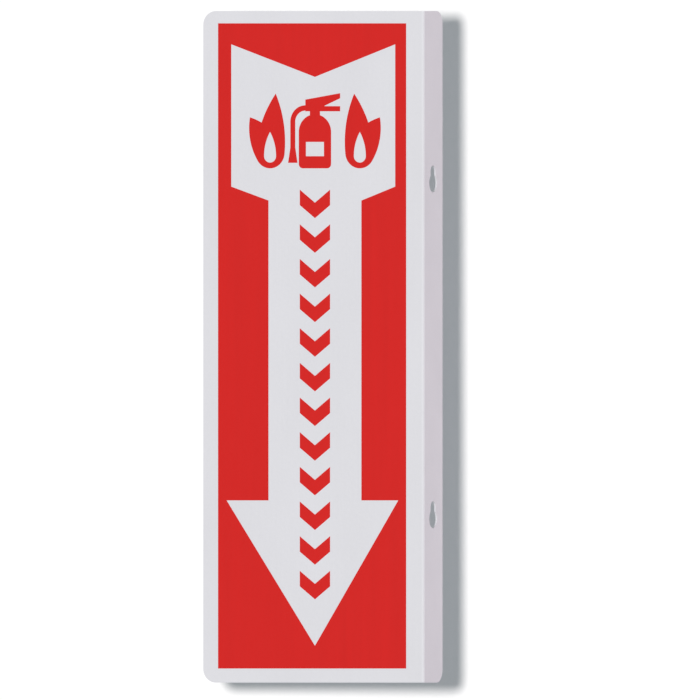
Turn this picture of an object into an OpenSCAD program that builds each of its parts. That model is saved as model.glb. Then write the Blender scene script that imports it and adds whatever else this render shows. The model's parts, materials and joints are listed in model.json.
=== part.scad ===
// Right-angle wall sign for a fire extinguisher.
// One thin plastic sheet is folded once: the tall face stands out from the wall and the flange lies on it.
// The red ink on the face is a thin layer that leaves a tall white arrow bare.
//
// Frame: the wall touches the flange at x = 0, the face looks along -Y, and +Z is up.
// The origin is on the wall side of the flange, halfway between the two keyholes.

/* [Sheet] */

// Height of the sheet
sheet_h = 304.8; // [300:0.1:400]
// Width of the face, from its free edge to the wall side of the flange
face_w = 109.6; // [98:0.1:160]
// Depth of the flange, from the front of the face to the flange's free edge
flange_d = 20.8; // [17:0.1:40]
// Thickness of the sheet
sheet_t = 0.8; // [0.5:0.1:2]
// Inner radius of the fold
fold_r = 0.3; // [0.2:0.1:2]
// Radius of the sheet's free corners
corner_r = 6.3; // [1:0.1:8]

/* [Keyholes] */

// Distance between the two keyholes
keyhole_pitch = 152.4; // [80:0.1:250]
// Distance from the flange's free edge to the middle of the keyholes
keyhole_edge = 10.5; // [6:0.5:12]
// Height of a keyhole
keyhole_h = 12.25; // [11:0.05:20]
// Diameter of the round part that the screw's head goes through
keyhole_d = 8.6; // [7.5:0.1:10]
// Width of the slot that holds the screw's shank
keyhole_slot = 5.7; // [3:0.1:6]

/* [Red field] */

// Thickness of the ink
ink_t = 0.1; // [0.05:0.05:0.5]
// Bare margin at the face's free edge
field_left = 7.4; // [3:0.1:10]
// Bare margin beside the fold
field_right = 8.8; // [4:0.1:12]
// Bare margin at the top
field_top = 5.6; // [3:0.1:12]
// Bare margin at the bottom
field_bottom = 6.4; // [3:0.1:12]

/* [Arrow] */

// Shift of the arrow's centre line from the middle of the red field, towards the fold
arrow_shift = 1.4; // [-5:0.1:5]
// Red above the two upper corners of the tail
tail_gap = 9.5; // [4:0.1:14]
// Height of the tail at its sides
tail_h = 64.6; // [60:0.1:80]
// Red beside the tail, towards the free edge
tail_left_gap = 6.5; // [1:0.1:12]
// Red beside the tail, towards the fold
tail_right_gap = 5.4; // [1:0.1:12]
// Depth of the notch in the tail's top
notch_h = 14.8; // [4:0.1:20]
// Height of the slope between the tail's side and the shaft
slope_h = 6.3; // [0:0.1:20]
// Width of the shaft
shaft_w = 46.2; // [24:0.1:60]
// Red beside the head, towards the free edge
head_left_gap = 4.2; // [1:0.1:15]
// Red beside the head, towards the fold
head_right_gap = 3.9; // [1:0.1:15]
// Height of the head
head_h = 66; // [40:0.5:75]
// Red below the arrow's point
point_gap = 10.3; // [4:0.1:20]

/* [Symbol] */

// White below the symbol, down to the tail's lower corners
symbol_gap = 8.3; // [2:0.1:12]
// Width of the bottle
bottle_w = 16; // [12:0.5:17]
// Height of the bottle's straight side
bottle_h = 16.5; // [14:0.5:18]
// Radius of the bottle's lower corners
bottle_foot_r = 2; // [0.5:0.1:3]
// Width of the bare label on the bottle
label_w = 9; // [4:0.1:10]
// Height of the bare label on the bottle
label_h = 6.5; // [3:0.5:8]
// Height of the label's lower edge above the bottle's foot
label_rise = 5.5; // [3:0.5:6]
// Width of the bottle's neck
neck_w = 5; // [3:0.1:8]
// Height of the neck between the bottle and the valve
neck_h = 1.4; // [1:0.1:2.5]
// Width of the valve
valve_w = 9.5; // [7:0.5:11]
// Height of the valve
valve_h = 3; // [2.5:0.1:4]
// Thickness of the handle and the lever
grip_t = 2.3; // [1.2:0.1:2.6]
// Reach of the handle and the lever from the middle of the bottle
grip_reach = 12.5; // [9:0.5:13]
// Rise of the lever from the valve to its tip
lever_rise = 2.9; // [1:0.1:4]
// Width of the hose
hose_w = 2.4; // [1:0.1:3]
// Gap between the bottle and the hose
hose_gap = 1.8; // [1:0.1:2.5]
// Height of the nozzle's tip above the bottle's foot
nozzle_rise = 2.5; // [0:0.5:5]
// Height of the nozzle
nozzle_h = 7; // [4:0.5:9]
// Width of the nozzle's tip
nozzle_w = 4.6; // [3:0.1:5]
// White between a flame and what reaches furthest towards it, the nozzle or the handle
flame_gap = 1.8; // [1.2:0.1:4]
// Radius of a flame's round foot
flame_r = 7.2; // [5:0.1:7.5]
// Length of the flame's tall tongue
tall_tongue = 34; // [24:0.5:36]
// Lean of the tall tongue towards the bottle
tall_lean = 6; // [0:1:10]
// Length of the flame's short tongue
short_tongue = 26; // [18:0.5:28]
// Lean of the short tongue away from the bottle
short_lean = 32; // [25:1:40]
// Height of the bare flame inside the red one
core_h = 14; // [8:0.5:18]
// Radius of the bare flame's round foot
core_r = 3; // [1.5:0.1:3.5]
// Red below the bare flame
core_rise = 2.6; // [1:0.1:4]

/* [Chevrons] */

// Number of chevrons
chevron_count = 12; // [2:1:12]
// Width of a chevron
chevron_w = 15; // [8:0.5:22]
// Height of a chevron
chevron_h = 12.9; // [9:0.1:13.5]
// Height of a chevron's arm
chevron_arm = 7; // [3:0.5:8]
// Distance from the tail's upper corners down to the first chevron
chevron_start = 66; // [60:0.5:70]
// Distance from the last chevron's point down to the arrow's point
chevron_end = 21.1; // [18:0.1:60]

/* [Hidden] */

$fn = 96;

// How far a cutter, or an outline that another one trims, runs past the final edge
past = 1;
// Width of the band in which two shapes of one silhouette run into each other
blend = 0.5;

// Sheet
front_y = keyhole_edge - flange_d;
bend_r = fold_r + sheet_t;
half_h = sheet_h / 2;

// Keyhole, measured from its middle
round_z = keyhole_d / 2 - keyhole_h / 2;
slot_z = keyhole_h / 2 - keyhole_slot / 2;

// Arrow, across from its centre line
field_w = face_w - field_left - field_right;
arrow_x = field_left + field_w / 2 + arrow_shift;
left_reach = arrow_x - field_left;
right_reach = field_w - left_reach;
tail_left = left_reach - tail_left_gap;
tail_right = right_reach - tail_right_gap;
head_left = left_reach - head_left_gap;
head_right = right_reach - head_right_gap;

// Arrow, from top to bottom
tail_top = half_h - field_top - tail_gap;
tail_foot = tail_top - tail_h;
point_z = field_bottom + point_gap - half_h;
head_z = point_z + head_h;

// Symbol, measured from the bottle's foot
bottle_top = bottle_h + bottle_w / 2;
valve_z = bottle_top + neck_h;
hose_z = valve_z + valve_h / 2;
hose_x = bottle_w / 2 + hose_gap + hose_w / 2;
hose_bend_r = hose_x - valve_w / 2;
nozzle_top = nozzle_rise + nozzle_h;
flame_x = max(grip_reach, hose_x + nozzle_w / 2) + flame_gap + flame_r;

// Chevrons, spread evenly down the shaft
chevron_top = tail_top - chevron_start;
chevron_run = chevron_top - chevron_h - chevron_end - point_z;
chevron_pitch = chevron_run / (chevron_count - 1);

// Waste outside a rounded corner, with the corner at the origin and the sheet towards +x and +y
module corner_waste(r) {
    difference() {
        translate([-past, -past])
            square(r + past);
        translate([r, r])
            circle(r);
    }
}

// Section of the folded sheet, seen from above. It runs past both free edges.
module folded_section() {
    difference() {
        translate([-face_w - past, front_y])
            square([face_w + past, flange_d + past]);
        translate([0, front_y])
            mirror([1, 0])
                corner_waste(bend_r);
        difference() {
            translate([-face_w - 2 * past, front_y + sheet_t])
                square([face_w + 2 * past - sheet_t, flange_d + past]);
            translate([-sheet_t, front_y + sheet_t])
                mirror([1, 0])
                    corner_waste(fold_r);
        }
    }
}

// Outline of a keyhole: the round part below and the slot above
module keyhole_outline() {
    translate([0, round_z])
        circle(d = keyhole_d);
    translate([-keyhole_slot / 2, round_z])
        square([keyhole_slot, slot_z - round_z]);
    translate([0, slot_z])
        circle(d = keyhole_slot);
}

// Outline of the sheet from the front, with rounded free corners. It runs past the fold.
module face_elevation() {
    difference() {
        translate([-face_w, -half_h])
            square([face_w + past, sheet_h]);
        for (side = [0, 1])
            mirror([0, side])
                translate([-face_w, -half_h])
                    corner_waste(corner_r);
    }
}

// Outline of the sheet from the wall, with rounded free corners and the keyholes. It runs past the fold.
module flange_elevation() {
    difference() {
        translate([front_y - past, -half_h])
            square([flange_d + past, sheet_h]);
        for (side = [0, 1])
            mirror([0, side])
                translate([keyhole_edge, -half_h])
                    mirror([1, 0])
                        corner_waste(corner_r);
        for (side = [-1, 1])
            translate([0, side * keyhole_pitch / 2])
                keyhole_outline();
    }
}

module sign_sheet() {
    color([0.87, 0.87, 0.89])
        intersection() {
            linear_extrude(sheet_h + 2 * past, center = true)
                folded_section();
            rotate([90, 0, 0])
                linear_extrude(2 * (flange_d + past), center = true)
                    face_elevation();
            rotate([90, 0, 90])
                linear_extrude(2 * (face_w + past), center = true)
                    flange_elevation();
        }
}

// Puts an outline on the face as a layer of ink: x runs from the arrow's centre line and y is height
module ink_on_face() {
    color([0.83, 0.17, 0.16])
        translate([arrow_x - face_w, front_y, 0])
            rotate([90, 0, 0])
                linear_extrude(ink_t)
                    children();
}

// White arrow that points down, with a notched tail
module arrow_outline() {
    polygon([
        [-tail_left, tail_top],
        [0, tail_top - notch_h],
        [tail_right, tail_top],
        [tail_right, tail_foot],
        [shaft_w / 2, tail_foot - slope_h],
        [shaft_w / 2, head_z],
        [head_right, head_z],
        [0, point_z],
        [-head_left, head_z],
        [-shaft_w / 2, head_z],
        [-shaft_w / 2, tail_foot - slope_h],
        [-tail_left, tail_foot]
    ]);
}

module red_field() {
    ink_on_face()
        difference() {
            translate([-left_reach, field_bottom - half_h])
                square([field_w, sheet_h - field_bottom - field_top]);
            arrow_outline();
        }
}

// Bottle with a round shoulder and a bare label
module bottle_outline() {
    difference() {
        union() {
            translate([-bottle_w / 2, 0])
                square([bottle_w, bottle_h]);
            translate([0, bottle_h])
                circle(d = bottle_w);
        }
        for (side = [0, 1])
            mirror([side, 0])
                translate([-bottle_w / 2, 0])
                    corner_waste(bottle_foot_r);
        translate([-label_w / 2, label_rise])
            square([label_w, label_h]);
    }
}

// Neck, valve, fixed handle and sloping lever
module valve_outline() {
    translate([-neck_w / 2, bottle_top - blend])
        square([neck_w, neck_h + 2 * blend]);
    translate([-valve_w / 2, valve_z])
        square([valve_w, valve_h]);
    translate([0, valve_z])
        square([grip_reach, grip_t]);
    polygon([
        [-valve_w / 2, valve_z + valve_h - blend],
        [valve_w / 2, valve_z + valve_h - blend],
        [grip_reach, valve_z + valve_h + lever_rise],
        [grip_reach, valve_z + valve_h + lever_rise + grip_t],
        [-valve_w / 2, valve_z + valve_h + grip_t]
    ]);
}

// Hose that leaves the valve, turns down beside the bottle and ends in a nozzle
module hose_outline() {
    translate([-valve_w / 2, hose_z - hose_bend_r])
        difference() {
            circle(hose_bend_r + hose_w / 2);
            circle(hose_bend_r - hose_w / 2);
            translate([blend, -2 * hose_bend_r])
                square(4 * hose_bend_r);
            translate([-2 * hose_bend_r, -4 * hose_bend_r])
                square(4 * hose_bend_r);
        }
    translate([-hose_x - hose_w / 2, nozzle_top - blend])
        square([hose_w, hose_z - hose_bend_r - nozzle_top + blend]);
    polygon([
        [-hose_x - hose_w / 2, nozzle_top],
        [-hose_x - nozzle_w / 2, nozzle_rise],
        [-hose_x + nozzle_w / 2, nozzle_rise],
        [-hose_x + hose_w / 2, nozzle_top]
    ]);
}

// Drop with a round foot of radius r and a point at height h, both sides curved
module drop_outline(r, h) {
    rise = h - r;
    side_r = (rise * rise + r * r) / (2 * r);
    translate([0, r]) {
        circle(r);
        intersection() {
            translate([side_r - r, 0])
                circle(side_r);
            translate([r - side_r, 0])
                circle(side_r);
            translate([-2 * r, 0])
                square([4 * r, h]);
        }
    }
}

// Tongue of a flame: a drop of this length that leans about the middle of its foot
module tongue_outline(h, lean) {
    translate([0, flame_r])
        rotate(lean)
            translate([0, -flame_r])
                drop_outline(flame_r, h);
}

// Flame with two tongues on one round foot and a bare core
module flame_outline() {
    difference() {
        union() {
            tongue_outline(tall_tongue, tall_lean);
            tongue_outline(short_tongue, -short_lean);
        }
        translate([0, core_rise])
            drop_outline(core_r, core_h);
    }
}

module red_symbol() {
    ink_on_face()
        translate([0, tail_foot + symbol_gap]) {
            bottle_outline();
            valve_outline();
            hose_outline();
            for (side = [0, 1])
                mirror([side, 0])
                    translate([flame_x, 0])
                        flame_outline();
        }
}

// Chevron that points down, with its upper corners at height 0
module chevron_outline() {
    polygon([
        [-chevron_w / 2, 0],
        [0, chevron_arm - chevron_h],
        [chevron_w / 2, 0],
        [chevron_w / 2, -chevron_arm],
        [0, -chevron_h],
        [-chevron_w / 2, -chevron_arm]
    ]);
}

module red_chevrons() {
    ink_on_face()
        for (i = [0 : chevron_count - 1])
            translate([0, chevron_top - i * chevron_pitch])
                chevron_outline();
}

sign_sheet();
red_field();
red_symbol();
red_chevrons();
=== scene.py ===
"""Looks of the projecting fire extinguisher sign: plastic, ink, a pale backdrop, soft light and a camera.

Lengths are in metres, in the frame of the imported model: +X goes into the wall, -Y is out of the printed
face and +Z is up.
"""

import json
import math

import bpy
from mathutils import Matrix, Vector


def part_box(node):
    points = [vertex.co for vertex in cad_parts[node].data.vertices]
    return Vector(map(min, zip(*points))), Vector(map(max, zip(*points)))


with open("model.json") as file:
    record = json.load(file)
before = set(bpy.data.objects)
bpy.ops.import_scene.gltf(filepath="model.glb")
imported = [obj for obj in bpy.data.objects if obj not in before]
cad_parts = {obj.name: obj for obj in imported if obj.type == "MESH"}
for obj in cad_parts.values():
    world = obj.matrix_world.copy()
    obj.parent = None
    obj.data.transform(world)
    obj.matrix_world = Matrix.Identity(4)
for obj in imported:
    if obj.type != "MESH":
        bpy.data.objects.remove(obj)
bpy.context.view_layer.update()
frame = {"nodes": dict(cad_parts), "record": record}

# One millimetre in metres
MM = 0.001

# Camera: level and turned from the face towards the flange, without perspective
VIEW_AZIMUTH = math.radians(24)
PICTURE_SIDE = 0.31769
SIGN_LEFT_OF_MIDDLE = 0.0123
SIGN_ABOVE_MIDDLE = 0.00145
CAMERA_DISTANCE = 1.5
CAMERA_REACH = 10

# Shadow on the backdrop: how far behind the sign it falls, and how far it shows to the right and below
SHADOW_DEPTH = 0.12
SHADOW_RIGHT = 0.0093
SHADOW_DOWN = 0.0028
BACKDROP_SIDE = 4

# Cards in the keyholes: how far from the wall they stand, inside the flange, and their reach in hole radii
CARD_FROM_WALL = 0.75 * MM
CARD_REACH = 2

# Light that a lamp or the surroundings give a surface that faces them, where 1 shows a colour as written
KEY_LIGHT = 0.796
SIDE_LIGHT = 0.325
SIDE_TINT = (1.0875, 0.8975, 1.0085)
BACK_LIGHT = 0.55
AMBIENT = 0.25

# Where the lamps stand, and how large they look from the sign
KEY_DISTANCE = 23
KEY_SIZE = math.radians(2.9)
SIDE_AZIMUTH = math.radians(130)
BACK_AZIMUTH = math.radians(205)
SOFT_SIZE = math.radians(20)

# Energy that gives a light of 1: in watts for the key lamp, and as strength for the soft lamps
KEY_FULL_ENERGY = 4 * (math.pi * KEY_DISTANCE) ** 2
SOFT_FULL_ENERGY = math.pi

# Linear colours, and the light that the backdrop's paper gives off by itself
BACKDROP_PAPER = (0.948, 0.914, 0.896)
BACKDROP_GLOW = (0.058, 0.0935, 0.1115)
WHITE_PLASTIC = (0.717, 0.715, 0.749)
SIGNAL_RED = (0.622, 0.0112, 0.009)

# Part of a noise's range, from 0 to 1, in which most of its values lie
NOISE_LOW = 0.3
NOISE_HIGH = 0.7


def direction(azimuth):
    """Level unit vector from the sign towards an azimuth: 0 is in front of the face, 90 degrees is +X."""
    return Vector((math.sin(azimuth), -math.cos(azimuth), 0))


# Directions, the sheet's box, and places of the sign at half its height
INTO_WALL = Vector((1, 0, 0))
ALONG_FLANGE = Vector((0, 1, 0))
UP = Vector((0, 0, 1))
TO_CAMERA = direction(VIEW_AZIMUTH)
TO_RIGHT = UP.cross(TO_CAMERA)
SHEET_LOW, SHEET_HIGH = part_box("sign_sheet")
FREE_EDGE = Vector((SHEET_LOW.x, SHEET_LOW.y, 0))
FLANGE_EDGE = Vector((SHEET_HIGH.x, SHEET_HIGH.y, 0))
SIGN_MIDDLE = (FREE_EDGE + FLANGE_EDGE) / 2


def add_node(tree, kind, **inputs):
    """New node with these input values. An input that is given a socket is linked to it."""
    node = tree.nodes.new(kind)
    for name, value in inputs.items():
        socket = node.inputs[name.replace("_", " ")]
        if isinstance(value, bpy.types.NodeSocket):
            tree.links.new(value, socket)
        else:
            socket.default_value = value
    return node


def new_material(name):
    """Material with no nodes yet."""
    material = bpy.data.materials.new(name)
    material.use_nodes = True
    material.node_tree.nodes.clear()
    return material


def noise(tree, size, stretch=1, detail=2):
    """Noise in object space with features of about this size, drawn out along Z by the stretch."""
    place = add_node(tree, "ShaderNodeTexCoord").outputs["Object"]
    place = add_node(tree, "ShaderNodeMapping", Vector=place, Scale=(1, 1, 1 / stretch)).outputs["Vector"]
    return add_node(tree, "ShaderNodeTexNoise", Vector=place, Scale=1 / size, Detail=detail).outputs["Fac"]


def between(tree, pattern, low, high):
    """Value that runs from low to high as a pattern of noise rises."""
    ramp = add_node(tree, "ShaderNodeMapRange", Value=pattern, From_Min=NOISE_LOW, From_Max=NOISE_HIGH,
                    To_Min=low, To_Max=high)
    return ramp.outputs["Result"]


def blend(tree, first, second, share):
    """Mix of two noises, with this share of the second one."""
    return add_node(tree, "ShaderNodeMix", Factor=share, A=first, B=second).outputs["Result"]


def mottled(tree, colour, spread, pattern):
    """Colour that goes from darker to lighter, by the spread to each side, as a pattern of noise rises."""
    ramp = add_node(tree, "ShaderNodeValToRGB", Fac=pattern)
    dark, light = ramp.color_ramp.elements
    dark.position = NOISE_LOW
    dark.color = [part * (1 - spread) for part in colour] + [1]
    light.position = NOISE_HIGH
    light.color = [part * (1 + spread) for part in colour] + [1]
    return ramp.outputs["Color"]


def relief(tree, height, depth, normal=None):
    """Bump of this depth in metres, laid over another normal if one is given."""
    bump = add_node(tree, "ShaderNodeBump", Height=height, Distance=depth)
    if normal:
        tree.links.new(normal, bump.inputs["Normal"])
    return bump.outputs["Normal"]


def finish_surface(tree, colour, roughness, normal, specular):
    """Surface with this finish as the material's output."""
    shader = add_node(tree, "ShaderNodeBsdfPrincipled", Base_Color=colour, Roughness=roughness,
                      Normal=normal, Specular_IOR_Level=specular)
    add_node(tree, "ShaderNodeOutputMaterial", Surface=shader.outputs["BSDF"])


def white_plastic():
    """Satin extruded sheet: faint drift of tone, fine draw lines up the sheet and an orange peel grain."""
    material = new_material("white_plastic")
    tree = material.node_tree
    grain = noise(tree, size=0.9 * MM, detail=3)
    drift = noise(tree, size=30 * MM, stretch=2)
    colour = mottled(tree, WHITE_PLASTIC, spread=0.022, pattern=blend(tree, drift, grain, share=0.35))
    patches = noise(tree, size=12 * MM)
    roughness = between(tree, blend(tree, patches, grain, share=0.4), low=0.58, high=0.74)
    draw_lines = relief(tree, noise(tree, size=1.2 * MM, stretch=40), depth=0.035 * MM)
    peel = relief(tree, noise(tree, size=2.2 * MM), depth=0.08 * MM, normal=draw_lines)
    normal = relief(tree, grain, depth=0.024 * MM, normal=peel)
    finish_surface(tree, colour, roughness, normal, specular=0.3)
    return material


def red_ink():
    """Screen ink: faint pulls of the squeegee down the sheet, a fine speckle and a satin skin."""
    material = new_material("red_ink")
    tree = material.node_tree
    speckle = noise(tree, size=0.6 * MM, detail=3)
    pulls = noise(tree, size=4 * MM, stretch=25)
    colour = mottled(tree, SIGNAL_RED, spread=0.03, pattern=blend(tree, pulls, speckle, share=0.4))
    patches = noise(tree, size=9 * MM)
    roughness = between(tree, blend(tree, patches, speckle, share=0.5), low=0.34, high=0.48)
    skin = relief(tree, noise(tree, size=1.5 * MM), depth=0.05 * MM)
    normal = relief(tree, speckle, depth=0.016 * MM, normal=skin)
    finish_surface(tree, colour, roughness, normal, specular=0.25)
    return material


def dress():
    """Gives each node of the sign its material."""
    white = white_plastic()
    red = red_ink()
    finishes = {"sign_sheet": white, "red_field": red, "red_symbol": red, "red_chevrons": red}
    for name, material in finishes.items():
        for slot in frame["nodes"][name].material_slots:
            slot.material = material


def seen_directly(tree):
    """1 for what the camera sees, also in a mirror or through glass, and 0 for the light on surfaces."""
    path = add_node(tree, "ShaderNodeLightPath")
    flag = path.outputs["Is Camera Ray"]
    for ray in ("Is Glossy Ray", "Is Transmission Ray"):
        either = add_node(tree, "ShaderNodeMath")
        either.operation = "MAXIMUM"
        tree.links.new(flag, either.inputs[0])
        tree.links.new(path.outputs[ray], either.inputs[1])
        flag = either.outputs[0]
    return flag


def surroundings():
    """White to the eye, with a weaker even light on the object."""
    world = bpy.data.worlds.new("surroundings")
    world.use_nodes = True
    tree = world.node_tree
    tree.nodes.clear()
    strength = add_node(tree, "ShaderNodeMapRange", Value=seen_directly(tree), To_Min=AMBIENT, To_Max=1)
    light = add_node(tree, "ShaderNodeBackground", Color=(1, 1, 1, 1), Strength=strength.outputs["Result"])
    add_node(tree, "ShaderNodeOutputWorld", Surface=light.outputs["Background"])
    bpy.context.scene.world = world


def backdrop_paper():
    """Paper with a glow that lightens and cools its shadows. From behind it lets the eye through."""
    material = new_material("backdrop_paper")
    tree = material.node_tree
    paper = add_node(tree, "ShaderNodeBsdfDiffuse", Color=(*BACKDROP_PAPER, 1))
    glow = add_node(tree, "ShaderNodeEmission", Color=(*BACKDROP_GLOW, 1), Strength=1)
    front = add_node(tree, "ShaderNodeAddShader")
    tree.links.new(paper.outputs["BSDF"], front.inputs[0])
    tree.links.new(glow.outputs["Emission"], front.inputs[1])
    clear = add_node(tree, "ShaderNodeBsdfTransparent")
    from_behind = add_node(tree, "ShaderNodeNewGeometry").outputs["Backfacing"]
    side = add_node(tree, "ShaderNodeMixShader", Fac=from_behind)
    tree.links.new(front.outputs["Shader"], side.inputs[1])
    tree.links.new(clear.outputs["BSDF"], side.inputs[2])
    add_node(tree, "ShaderNodeOutputMaterial", Surface=side.outputs["Shader"])
    return material


def staged_sheet(name, middle, along, reach):
    """Upright square sheet that isn't part of the sign, with this reach from its middle, along and up."""
    mesh = bpy.data.meshes.new(name)
    signs = ((-1, -1), (1, -1), (1, 1), (-1, 1))
    corners = [middle + (along * right + UP * top) * reach for right, top in signs]
    mesh.from_pydata(corners, [], [(0, 1, 2, 3)])
    sheet = bpy.data.objects.new(name, mesh)
    bpy.context.scene.collection.objects.link(sheet)
    return sheet


def backdrop():
    """Sheet of paper behind the sign, parallel to the line from its free edge to the flange's edge.

    Lamps shine through it, and it gives the sign no light apart from a reflection in the gloss.
    """
    along = (FLANGE_EDGE - FREE_EDGE).normalized()
    middle = FLANGE_EDGE - TO_CAMERA * SHADOW_DEPTH + TO_RIGHT * SHADOW_RIGHT
    sheet = staged_sheet("backdrop", middle, along, BACKDROP_SIDE / 2)
    sheet.data.materials.append(backdrop_paper())
    sheet.visible_shadow = False
    sheet.visible_diffuse = False


def keyhole_cards():
    """Card in each keyhole that only the lamps see, so that the shadow on the backdrop stays whole."""
    holes = next(mount for mount in frame["record"]["mounts"] if mount["name"] == "keyholes")
    spacing = holes["dims"]["spacing_y_mm"] * MM
    reach = CARD_REACH * holes["dims"]["hole_r_mm"] * MM
    for name, side in (("lower_card", -1), ("upper_card", 1)):
        middle = Vector(holes["pos_m"]) + UP * side * spacing / 2 - INTO_WALL * CARD_FROM_WALL
        card = staged_sheet(name, middle, ALONG_FLANGE, reach)
        card.visible_camera = False
        card.visible_diffuse = False
        card.visible_glossy = False
        card.visible_transmission = False


def lamp(name, kind, energy):
    """New lamp of this kind at the origin."""
    holder = bpy.data.objects.new(name, bpy.data.lights.new(name, kind))
    holder.data.energy = energy
    bpy.context.scene.collection.objects.link(holder)
    return holder


def key_lamp():
    """Round lamp so far away that its shadow of the sign is only a little larger than the sign."""
    key = lamp("key", "POINT", KEY_FULL_ENERGY * KEY_LIGHT)
    key.data.shadow_soft_size = KEY_DISTANCE * math.tan(KEY_SIZE / 2)
    towards = TO_CAMERA * SHADOW_DEPTH - TO_RIGHT * SHADOW_RIGHT + UP * SHADOW_DOWN
    key.location = SIGN_MIDDLE + towards.normalized() * KEY_DISTANCE


def soft_lamp(name, azimuth, light, tint=(1, 1, 1)):
    """Broad lamp, endlessly far away, that shines on the sign from this azimuth."""
    soft = lamp(name, "SUN", SOFT_FULL_ENERGY * light)
    soft.data.angle = SOFT_SIZE
    soft.data.color = tint
    soft.rotation_mode = "QUATERNION"
    soft.rotation_quaternion = direction(azimuth).to_track_quat("Z", "Y")
    return soft


def lights():
    """Key lamp in front, and soft lamps at the side and behind.

    The lamp behind has no bounces, because the sign's back would throw its light into the shadow.
    """
    key_lamp()
    soft_lamp("side", SIDE_AZIMUTH, SIDE_LIGHT, SIDE_TINT)
    back = soft_lamp("back", BACK_AZIMUTH, BACK_LIGHT)
    back.data.cycles.max_bounces = 0


def camera():
    """Camera that looks level at the sign, which stands a little left of the picture's middle."""
    data = bpy.data.cameras.new("camera")
    data.type = "ORTHO"
    data.ortho_scale = PICTURE_SIDE
    data.clip_end = CAMERA_REACH
    eye = bpy.data.objects.new("camera", data)
    bpy.context.scene.collection.objects.link(eye)
    aim = SIGN_MIDDLE + TO_RIGHT * SIGN_LEFT_OF_MIDDLE - UP * SIGN_ABOVE_MIDDLE
    place = Matrix.Translation(aim + TO_CAMERA * CAMERA_DISTANCE)
    eye.matrix_world = place @ TO_CAMERA.to_track_quat("Z", "Y").to_matrix().to_4x4()
    bpy.context.scene.camera = eye


camera()
dress()
surroundings()
backdrop()
keyhole_cards()
lights()
bpy.context.scene.view_settings.view_transform = "Standard"
